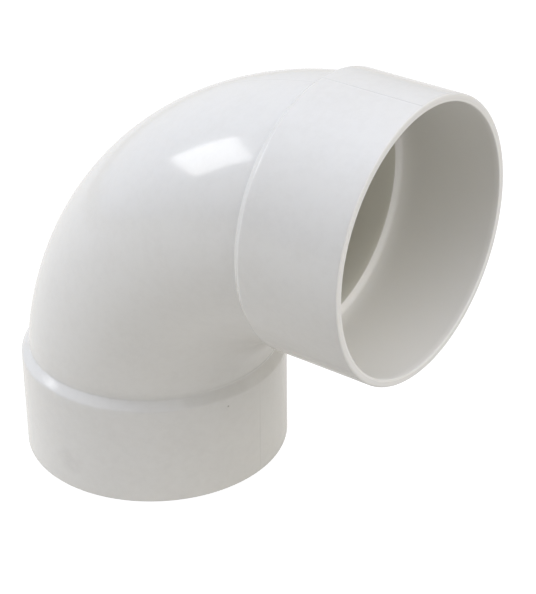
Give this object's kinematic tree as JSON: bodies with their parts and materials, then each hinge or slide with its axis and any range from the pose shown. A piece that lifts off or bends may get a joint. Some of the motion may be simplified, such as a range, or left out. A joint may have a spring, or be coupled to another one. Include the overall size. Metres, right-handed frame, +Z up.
{
  "type": "pipe elbow fitting",
  "caption": "White PVC 90 degree pipe elbow moulded in one piece, with a solvent-weld socket hub at each end, a sloping pipe stop in each socket and a swept bend between them.",
  "frame": {"origin": "centre of the footprint, on the plane of the lower hub's rim, which is the plane the elbow stands on", "axes": "+Z up, along the lower hub's axis from its mouth into the bend; +X along the side hub's axis, out of its mouth; the plane y = 0 is the moulding's mirror plane and parting plane"},
  "size_m": [0.1906, 0.1134, 0.1905],
  "materials": {
    "white_pvc": "injection moulded rigid PVC, white, smooth semi-gloss with faint flow mottle and a fine parting line"
  },
  "bodies": {
    "root": {"elbow_body": "white_pvc"}
  },
  "joints": []
}
